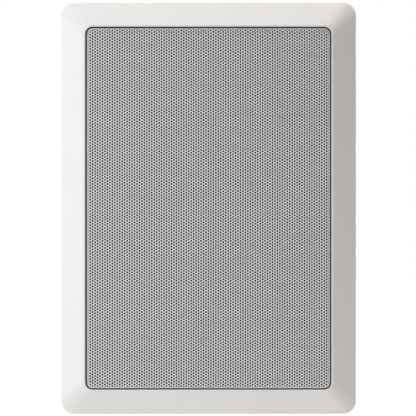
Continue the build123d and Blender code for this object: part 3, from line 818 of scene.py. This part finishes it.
def spider_disc():
    """The corrugated cloth disc that centres the coil, flat where it is glued."""
    front = []
    for i in range(SPIDER_STEPS + 1):
        share = i / SPIDER_STEPS
        fallen = min(max((share - RIPPLES_FROM) / SPIDER_FALL, 0), 1)
        radius = SPIDER_COLLAR[0] + (SPIDER_RIM[0] - SPIDER_COLLAR[0]) * share
        depth = SPIDER_COLLAR[1] + (SPIDER_RIM[1] - SPIDER_COLLAR[1]) * fallen
        if RIPPLES_FROM < share < RIPPLES_TO:
            depth -= RIPPLE_H * abs(sin(pi * RIPPLE_COUNT * share))
        front.append((radius, depth))
    outline = sheet_outline(front, SPIDER_T)
    made = turned_piece(
        "spider_disc", outline, WOOFER_CENTRE, spider_cloth, "amber_cloth", replaced=["spider"]
    )
    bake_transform(made)


def tinsel_leads():
    """Two braided leads from the tags to the back of the cone."""
    for name, side in (("right", 1), ("left", -1)):
        line = spline_points([Vector((side * x, y, z)) * MM for x, y, z in TINSEL_ROUTE])
        bm = bmesh.new()
        tube_along(bm, line, TINSEL_R * MM)
        made = add_piece("tinsel_lead_" + name, bm, copper, "copper_winding")
        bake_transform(made)


def driver_screws():
    """Screw heads on the woofer's flange and the tweeter's plate."""
    bm = bmesh.new()
    for centre_z, screws in ((WOOFER_Z, WOOFER_SCREWS), (TWEETER_Z, TWEETER_SCREWS)):
        count, circle_r, first, face_y, head_r, head_h = screws
        for i in range(count):
            angle = radians(first + 360 / count * i)
            place = (circle_r * cos(angle), face_y, centre_z + circle_r * sin(angle))
            pan_head(bm, place, head_r, -head_h)
    close_mesh(bm)
    add_piece("driver_screws", bm, screw_steel, "zinc_screw", body="frame")


def tag_solder():
    """Beads of solder where the leads meet the tags."""
    bm = bmesh.new()
    x, y, z = TAG_BEAD
    for side in (1, -1):
        add_bead(bm, Vector((side * x, y, z)) * MM, Vector(TAG_BEAD_SIZE) * MM, around=14)
    add_piece("tag_solder", bm, solder, "tinned_brass", body="frame")


surround()
dust_cap_dome()
spider_disc()
tinsel_leads()
driver_screws()
tag_solder()


# Tweeter

# The dome in millimetres: the depth of its rim, the step inside it, and its thickness
DOME_RIM_Y = 11.1
DOME_STEP = 0.1
DOME_T = 0.4

# The low corner of a tag, with its distance above and below the centre, and its size, in millimetres
TWEETER_TAG = (10.0, 24.1, 3.0)
TWEETER_TAG_SIZE = (6.5, 0.6, 2.4)


def tweeter_dome():
    """The silk dome with its small roll, clamped at the rim."""
    rim = [(21.4, DOME_RIM_Y), (16.6, DOME_RIM_Y)]
    roll = arc((14.7, DOME_RIM_Y), 1.7, -1.1, 0, 180, 8)
    dome = arc((0, DOME_RIM_Y - DOME_STEP), 12.7, -5.4, 4, 90, 14)
    outline = sheet_outline(in_metres(rim + roll + dome), DOME_T * MM)
    turned_piece(
        "tweeter_silk", outline, TWEETER_CENTRE, dome_silk, "silk", body="frame", replaced=["tweeter_dome"]
    )


def tweeter_tags():
    """Two tags for the lead on the back of the tweeter."""
    bm = bmesh.new()
    x, y, z = TWEETER_TAG
    for level in (-z, z):
        low = Vector((x * MM, y * MM, TWEETER_Z + (level - TWEETER_TAG_SIZE[2] / 2) * MM))
        add_block(bm, low, low + Vector(TWEETER_TAG_SIZE) * MM, bevel=0.15 * MM)
    add_piece("tweeter_tags", bm, tinned_brass, "tinned_brass", body="frame")


tweeter_dome()
tweeter_tags()


# Crossover

INDUCTOR_CENTRE = (54.0 * MM, 0, 82.0 * MM)
CHOKE_CENTRE = (31.6 * MM, 0, 99.0 * MM)

# Turned outlines in millimetres, as (radius, depth): the inductor's bobbin and the discs of the choke's core
BOBBIN = [
    (5.0, 18.7), (12.0, 18.7), (12.0, 19.9), (6.0, 19.9), (6.0, 30.7), (12.0, 30.7), (12.0, 31.7),
    (5.0, 31.7),
]
CHOKE_DISCS = (
    [(0, 18.7), (5.5, 18.7), (5.5, 20.3), (0, 20.3)],
    [(0, 29.0), (5.5, 29.0), (5.5, 30.7), (0, 30.7)],
)

# A turn of wire: the share of its width at which its ridge starts, and the ridge's height in wire widths
TURN_FOOT = 0.15
TURN_CREST = 0.4

# A capacitor's end in radii: the radius of its rolled edge, and of its flat. The crimp is as deep as the roll
# and this wide.
CAPACITOR_ROLL = 0.12
CAPACITOR_FLAT = 0.8
CRIMP_W = 1.5 * MM

# Routes of the legs from the component to above the board, and the depth of their feet, in millimetres
LEG_R = 0.4 * MM
LEG_FOOT_Y = 18.6
LEG_ROUTES = [
    [(39.2, 24.7, 62.0), (37.0, 24.7, 62.0), (36.4, 23.0, 62.0)],
    [(66.8, 24.7, 62.0), (67.2, 24.7, 62.0), (67.3, 22.0, 62.0)],
    [(42.2, 23.2, 50.5), (40.4, 23.2, 50.5), (39.8, 22.0, 50.5)],
    [(63.8, 23.2, 50.5), (65.6, 23.2, 50.5), (66.2, 22.0, 50.5)],
    [(32.0, 22.4, 76.8), (32.0, 22.4, 78.6), (32.0, 21.4, 79.4)],
    [(32.0, 22.4, 57.2), (32.0, 22.4, 55.6), (32.0, 21.4, 54.8)],
]
LEG_BEAD_SIZE = (1.1 * MM, 0.7 * MM, 1.1 * MM)

BOARD_SCREW_PLACES = ((31.0 * MM, 115.0 * MM), (36.2 * MM, 51.5 * MM))
BOARD_SCREW_R = 2.8 * MM
BOARD_SCREW_H = 1.8 * MM


def wound_coil(name, centre, radii, depths, wire, replaced):
    """A coil of round copper wire in a turned outline, one ridge a turn."""
    inner, outer = radii
    front, back = depths
    turns = int((back - front) / wire)
    step = (back - front) / turns
    outline = [(inner, front), (outer, front)]
    for i in range(turns):
        start = front + (back - front) * i / turns
        crest = (outer + wire * TURN_CREST, start + step / 2)
        outline += [(outer, start + step * TURN_FOOT), crest, (outer, start + step * (1 - TURN_FOOT))]
    outline += [(outer, back), (inner, back)]
    turned_piece(name, outline, centre, copper, "copper_winding", steps=48, body="frame", replaced=replaced)


def board_coils():
    """The air-cored coil on its bobbin, and the small choke on its drum core."""
    wound_coil(
        "inductor_winding", INDUCTOR_CENTRE, radii=(6.0 * MM, 11.0 * MM), depths=(20.0 * MM, 30.6 * MM),
        wire=0.9 * MM, replaced=["woofer_inductor"],
    )
    turned_piece(
        "inductor_bobbin", in_metres(BOBBIN), INDUCTOR_CENTRE, nylon, "clamp_nylon", steps=48, body="frame"
    )
    wound_coil(
        "choke_winding", CHOKE_CENTRE, radii=(2.5 * MM, 4.7 * MM), depths=(20.4 * MM, 28.9 * MM),
        wire=0.6 * MM, replaced=["tweeter_choke"],
    )
    bm = bmesh.new()
    for disc in CHOKE_DISCS:
        spin_outline(bm, in_metres(disc), CHOKE_CENTRE, steps=40)
    close_mesh(bm)
    add_piece("choke_core", bm, ferrite, "ferrite", body="frame")


def capacitor(name, x, z, radius, length, crimp_from, material, slot, replaced):
    """A round capacitor lying on the board along X, with rolled ends and, given its place, a crimp."""
    half = length / 2
    roll = radius * CAPACITOR_ROLL
    flat = radius * CAPACITOR_FLAT
    end = arc((radius - roll, 0), roll, roll, 90, 0, 4)
    left = [(0, -half), (flat, -half)] + [(r, -half + roll - a) for r, a in end]
    right = [(r, half - roll + a) for r, a in reversed(end)] + [(flat, half), (0, half)]
    crimp = []
    if crimp_from:
        start = -half + crimp_from
        crimp = [(radius, start), (radius - roll, start + CRIMP_W / 2), (radius, start + CRIMP_W)]
    turned_piece(
        name, left + crimp + right, (x, BOARD_BACK + radius, z), material, slot, axis=(1, 0, 0), steps=40,
        body="frame", replaced=replaced,
    )


def component_legs():
    """Bent wire legs of the capacitors and the resistor, and their solder beads on the board."""
    wires = bmesh.new()
    beads = bmesh.new()
    for route in LEG_ROUTES:
        x, _, z = route[-1]
        points = [Vector(place) * MM for place in route + [(x, LEG_FOOT_Y, z)]]
        tube_along(wires, spline_points(points), LEG_R)
        add_bead(beads, (x * MM, BOARD_BACK, z * MM), LEG_BEAD_SIZE, around=12)
    add_piece("component_legs", wires, solder, "tinned_brass", body="frame")
    add_piece("board_solder", beads, solder, "tinned_brass", body="frame")


def board_screws():
    """Screw heads on the back of the board."""
    bm = bmesh.new()
    for x, z in BOARD_SCREW_PLACES:
        pan_head(bm, (x, BOARD_BACK, z), BOARD_SCREW_R, BOARD_SCREW_H)
    close_mesh(bm)
    add_piece("board_screws", bm, screw_steel, "zinc_screw", body="frame")


board_coils()
capacitor(
    "woofer_capacitor_can", x=53.0 * MM, z=62.0 * MM, radius=6.0 * MM, length=28.0 * MM, crimp_from=3.0 * MM,
    material=blue_sleeve, slot="capacitor_sleeve", replaced=["woofer_capacitor"],
)
capacitor(
    "tweeter_capacitor_film", x=53.0 * MM, z=50.5 * MM, radius=4.5 * MM, length=22.0 * MM, crimp_from=None,
    material=amber_film, slot="capacitor_film", replaced=["tweeter_capacitor"],
)
component_legs()
board_screws()
softened("attenuator_resistor", cement, width=0.5 * MM)
softened("crossover_board", circuit_board, width=0.15 * MM, segments=1)
softened("tag_strip", fibre, width=0.2 * MM)


# Terminals

# Grip ridges of a lever: how many, their step, the place of the first, half their length and width, and how
# far they lie in the pad and stand out of it
GRIP_COUNT = 4
GRIP_STEP = 1.5 * MM
GRIP_FIRST = 1.3 * MM
GRIP_HALF = Vector((4.0, 0, 0.3)) * MM
GRIP_SUNK = Vector((0, 0.2, 0)) * MM
GRIP_PROUD = Vector((0, 0.35, 0)) * MM


def lever_ridges(colour, x, material, slot):
    """Grip ridges on a lever's pad."""
    bm = bmesh.new()
    low, high = box_corners("terminal_lever_" + colour)
    for i in range(GRIP_COUNT):
        middle = Vector((x, high.y, low.z + GRIP_FIRST + GRIP_STEP * i))
        add_block(bm, middle - GRIP_HALF - GRIP_SUNK, middle + GRIP_HALF + GRIP_PROUD, bevel=0.2 * MM)
    add_piece("lever_ridges_" + colour, bm, material, slot, body="terminal_lever_" + colour)


def terminal_spring(colour):
    """The leaf under a lever, with its faces cut finer."""
    node = "terminal_clip_" + colour
    bm = solid_copy(node)
    bmesh.ops.subdivide_edges(bm, edges=bm.edges[:], cuts=3, use_grid_fill=True)
    made = add_piece("terminal_spring_" + colour, bm, spring_steel, "spring_steel", replaced=[node])
    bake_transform(made)


softened("terminal_block", black_plastic, width=0.35 * MM)
for colour, x, material in (("red", 45.2 * MM, red_plastic), ("black", 59.8 * MM, black_plastic)):
    softened("terminal_lever_" + colour, material, width=0.3 * MM)
    lever_ridges(colour, x, material, colour + "_plastic")
    terminal_spring(colour)


# Clamps

# The screw's shank and thread: the thread starts this many mm past the baffle and ends this far from the tip.
# Its ridge is given in millimetres, as (radius, distance along the screw).
SCREW_CORE_R = 1.62 * MM
SCREW_TIP_R = 1.1 * MM
SCREW_TAPER = 1.0 * MM
THREAD_PITCH = 1.4 * MM
THREAD_START = 0.3
THREAD_END = 1.5 * MM
THREAD_STEPS = 16
THREAD_RIDGE = [(1.5, 0.0), (1.98, 0.42), (1.98, 0.6), (1.5, 1.02)]


def clamp_screw(corner, x, z):
    """A cross-head screw with a thread on its shank."""
    node = "clamp_screw_" + corner
    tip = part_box(node)[1][1]
    bm = rounded_copy(node, width=0.2 * MM)
    everything = bm.verts[:] + bm.edges[:] + bm.faces[:]
    bmesh.ops.bisect_plane(
        bm, geom=everything, plane_co=(0, BAFFLE_BACK, 0), plane_no=(0, 1, 0), clear_outer=True
    )
    bmesh.ops.holes_fill(bm, edges=[edge for edge in bm.edges if edge.is_boundary])
    core = [(0, BAFFLE_BACK), (SCREW_CORE_R, BAFFLE_BACK), (SCREW_CORE_R, tip - SCREW_TAPER)]
    spin_outline(bm, core + [(SCREW_TIP_R, tip), (0, tip)], (x, 0, z), steps=20)
    close_mesh(bm)
    turns = int((tip - THREAD_END - BAFFLE_BACK) / THREAD_PITCH)
    ridge = [(x + r * MM, BAFFLE_BACK + (THREAD_START + along) * MM, z) for r, along in THREAD_RIDGE]
    verts = [bm.verts.new(place) for place in ridge]
    edges = [bm.edges.new(pair) for pair in zip(verts, verts[1:] + verts[:1])]
    last = bmesh.ops.spin(
        bm, geom=verts + edges, cent=(x, 0, z), axis=(0, 1, 0), angle=2 * pi * turns,
        steps=THREAD_STEPS * turns, dvec=(0, THREAD_PITCH / THREAD_STEPS, 0),
    )["geom_last"]
    bmesh.ops.contextual_create(bm, geom=edges)
    bmesh.ops.contextual_create(bm, geom=edges_of(last))
    face_outwards(bm)
    add_piece(node + "_thread", bm, screw_steel, "zinc_screw", body=node, replaced=[node])


for corner, (side, end) in CORNERS.items():
    clamp_screw(corner, side * CLAMP_X, end * CLAMP_Z)
    softened("clamp_paddle_" + corner, nylon, width=0.6 * MM)


# Leads between the drivers and the board, in millimetres

CONDUCTOR_R = 0.8
LEAD_LEVEL = 84.75
WOOFER_LEAD_ROUTE = [
    (0, 47.4, 0.3), (0, 47.4, 18.0), (0, 47.0, 32.0), (15.0, 33.0, 32.0), (30.0, 20.3, 32.0),
    (30.0, 20.3, 42.0), (30.0, 20.3, 49.0),
]
TWEETER_LEAD_ROUTE = [
    (x, y, LEAD_LEVEL) for x, y in (
        (12.5, 24.6), (12.5, 30.0), (13.0, 34.1), (20.0, 34.1), (27.6, 34.1), (28.0, 28.0), (28.4, 20.3),
        (31.0, 19.9), (35.0, 19.6),
    )
]


def twin_lead(name, route, across, replaced):
    """Two insulated conductors side by side along a route."""
    for colour, side, material in (("red", CONDUCTOR_R, red_lead), ("black", -CONDUCTOR_R, black_lead)):
        label = name + "_" + colour
        points = [Vector(place) * MM + Vector(across) * side * MM for place in route]
        curve = bpy.data.curves.new(label, "CURVE")
        curve.bevel_depth = CONDUCTOR_R * MM
        curve.bevel_resolution = 3
        curve.use_fill_caps = True
        add_spline(curve, points)
        curve.materials.append(material)
        made = new_object(label, curve)
        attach(made, "frame")
        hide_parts(*replaced)
        line_length(spline_points(points))


twin_lead("woofer_wire", WOOFER_LEAD_ROUTE, (1, 0, 0), ["woofer_lead"])
twin_lead("tweeter_wire", TWEETER_LEAD_ROUTE, (0, 0, 1), ["tweeter_lead"])


# Finishes of the solids that show as they are

finishes = {
    "frame": white_plastic,
    "woofer_basket": black_paint,
    "woofer_cone": cone_plastic,
    "voice_coil": coil_wire,
    "solder_tags": tinned_brass,
    "top_plate": woofer_steel,
    "woofer_magnet": ferrite,
    "yoke": woofer_steel,
    "tweeter_faceplate": black_plastic,
    "tweeter_motor": tweeter_steel,
}
for node, material in finishes.items():
    nodes[node].data.materials.clear()
    nodes[node].data.materials.append(material)


# Stage, light and camera

FLOOR_DROP = 12.0 * MM
FLOOR_REACH = 6.0
FLOOR_COLOUR = (0.80, 0.79, 0.77, 1)
WHITE = (1, 1, 1, 1)

# Distances from the speaker between which the floor that the camera sees goes over to plain white, the share
# of white at the first, and its strength
FADE_FROM = 0.25
FADE_TO = 0.8
WHITE_SHARE = 0.8
FLOOR_WHITE = 1.1

SURROUND_COLOUR = (1.0, 0.72, 0.55, 1)
SURROUND_STRENGTH = 0.13

# The camera: its sensor in mm, its distance, the width that it sees, and the middle of its view (x, z)
SENSOR_W = 36
CAMERA_DISTANCE = 3.0
VIEW_W = 308.6 * MM
VIEW_MIDDLE = (-0.33 * MM, 0.15 * MM)


def background_rays(tree):
    """1 for the rays that see the background: the camera's, and those from gloss and glass."""
    path = add_node(tree, "ShaderNodeLightPath").outputs
    seen = math_node(tree, "MAXIMUM", path["Is Camera Ray"], path["Is Glossy Ray"])
    return math_node(tree, "MAXIMUM", seen, path["Is Transmission Ray"])


def show_instead(tree, share, lit, shown, output):
    """Shows one shader in place of another by a share, at the tree's output."""
    mix = add_node(tree, "ShaderNodeMixShader", {0: share, 1: lit.outputs[0], 2: shown.outputs[0]})
    link_into(tree, tree.nodes[output], {"Surface": mix.outputs[0]})


def add_floor():
    """A pale floor below the speaker. The camera sees it white, with the speaker's shadow near by."""
    bm = bmesh.new()
    place = Matrix.Translation((0, 0, cad_box[0][2] - FLOOR_DROP))
    bmesh.ops.create_grid(bm, x_segments=1, y_segments=1, size=FLOOR_REACH, matrix=place)
    material, tree, shader = new_material("floor", roughness=0.9)
    shader.inputs["Base Color"].default_value = FLOOR_COLOUR
    distance = vector_node(tree, "LENGTH", object_place(tree))
    fade = ramp(tree, distance, FADE_FROM, FADE_TO, low=WHITE_SHARE)
    share = math_node(tree, "MULTIPLY", background_rays(tree), fade)
    white = add_node(tree, "ShaderNodeEmission", {"Color": WHITE, "Strength": FLOOR_WHITE})
    show_instead(tree, share, shader, white, "Material Output")
    new_object("floor", new_mesh("floor", bm, material))


def add_world():
    """A dim warm surround that the camera and the reflections see as white."""
    world = bpy.data.worlds.new("surround")
    world.use_nodes = True
    tree = world.node_tree
    plain = tree.nodes["Background"]
    plain.inputs["Color"].default_value = SURROUND_COLOUR
    plain.inputs["Strength"].default_value = SURROUND_STRENGTH
    white = add_node(tree, "ShaderNodeBackground", {"Color": WHITE, "Strength": 1.0})
    show_instead(tree, background_rays(tree), plain, white, "World Output")
    bpy.context.scene.world = world


def add_lamp(name, place, size, power, colour=(1, 1, 1)):
    """A soft lamp that faces the speaker and that the camera doesn't see."""
    lamp = bpy.data.lights.new(name, "AREA")
    lamp.shape = "RECTANGLE"
    lamp.size, lamp.size_y = size
    lamp.energy = power
    lamp.color = colour
    made = new_object(name, lamp)
    made.location = place
    made.rotation_euler = Vector(place).to_track_quat("Z", "Y").to_euler()
    made.visible_camera = False


def add_camera():
    """Straight in front, far off through a long lens."""
    camera = bpy.data.cameras.new("camera")
    camera.sensor_width = SENSOR_W
    camera.lens = SENSOR_W * CAMERA_DISTANCE / VIEW_W
    made = new_object("camera", camera)
    made.location = (VIEW_MIDDLE[0], -CAMERA_DISTANCE, VIEW_MIDDLE[1])
    made.rotation_euler = (radians(90), 0, 0)
    bpy.context.scene.camera = made


add_floor()
add_world()
add_lamp("left_lamp", (-1.30, -0.75, 0.10), size=(0.5, 0.9), power=17.0, colour=(0.95, 1.0, 1.04))
add_lamp("top_lamp", (0, -0.13, 1.3), size=(1.2, 0.2), power=13.5)
add_lamp("back_lamp", (0.9, 1.3, 0.7), size=(0.8, 0.8), power=12)
add_camera()

bpy.context.scene.view_settings.view_transform = "Standard"
